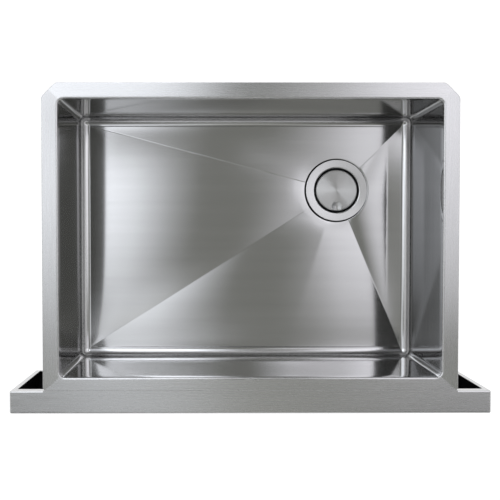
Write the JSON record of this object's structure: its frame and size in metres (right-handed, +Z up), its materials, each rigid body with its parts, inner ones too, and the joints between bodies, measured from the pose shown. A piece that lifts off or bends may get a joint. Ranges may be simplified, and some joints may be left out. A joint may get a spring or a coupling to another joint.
{
  "type": "apron front kitchen sink",
  "caption": "Stainless farmhouse sink with one deep rectangular bowl, flat flanges, a wide folded apron front, and an offset basket strainer with lift-out basket and cover.",
  "frame": {"origin": "middle of the bowl's mouth, in the plane of the rim", "axes": "+X to the right seen from the front, +Y to the back, away from the apron, +Z up"},
  "size_m": [0.762, 0.521, 0.443],
  "materials": {
    "brushed_stainless": "brushed in long straight strokes",
    "plain_stainless": "mill finish",
    "turned_stainless": "lathe brushed in rings",
    "spun_stainless": "spun, with a fan-shaped sheen",
    "pad_rubber": "matte",
    "black_rubber": "smooth",
    "putty": "matte",
    "fibre": "matte card",
    "cast_nut": "dull die cast",
    "plated_brass": "bright nickel plate",
    "socket_plastic": "matte moulded"
  },
  "bodies": {
    "sink": {"bowl_shell": "brushed_stainless", "apron_pan": "brushed_stainless", "apron_brace_left": "plain_stainless", "apron_brace_right": "plain_stainless", "sound_pad_left": "pad_rubber", "sound_pad_right": "pad_rubber", "sound_pad_back": "pad_rubber", "sound_pad_front": "pad_rubber", "sound_pad_floor": "pad_rubber", "strainer_body": "turned_stainless", "putty_ring": "putty", "drain_gasket": "black_rubber", "fibre_washer": "fibre", "locknut": "cast_nut", "tailpiece_washer": "black_rubber", "tailpiece": "plated_brass", "coupling_nut": "plated_brass"},
    "strainer_basket": {"basket_cup": "turned_stainless", "basket_stem": "turned_stainless", "basket_stopper": "black_rubber", "stem_nut": "turned_stainless"},
    "cover": {"drain_cover": "spun_stainless", "cover_socket": "socket_plastic"}
  },
  "joints": [
    {"name": "basket_lift", "type": "slide", "parent": "sink", "child": "strainer_basket", "axis": [0, 0, 1], "range_m": [0, 0.11]},
    {"name": "cover_lift", "type": "slide", "parent": "strainer_basket", "child": "cover", "axis": [0, 0, 1], "range_m": [0, 0.06]}
  ]
}
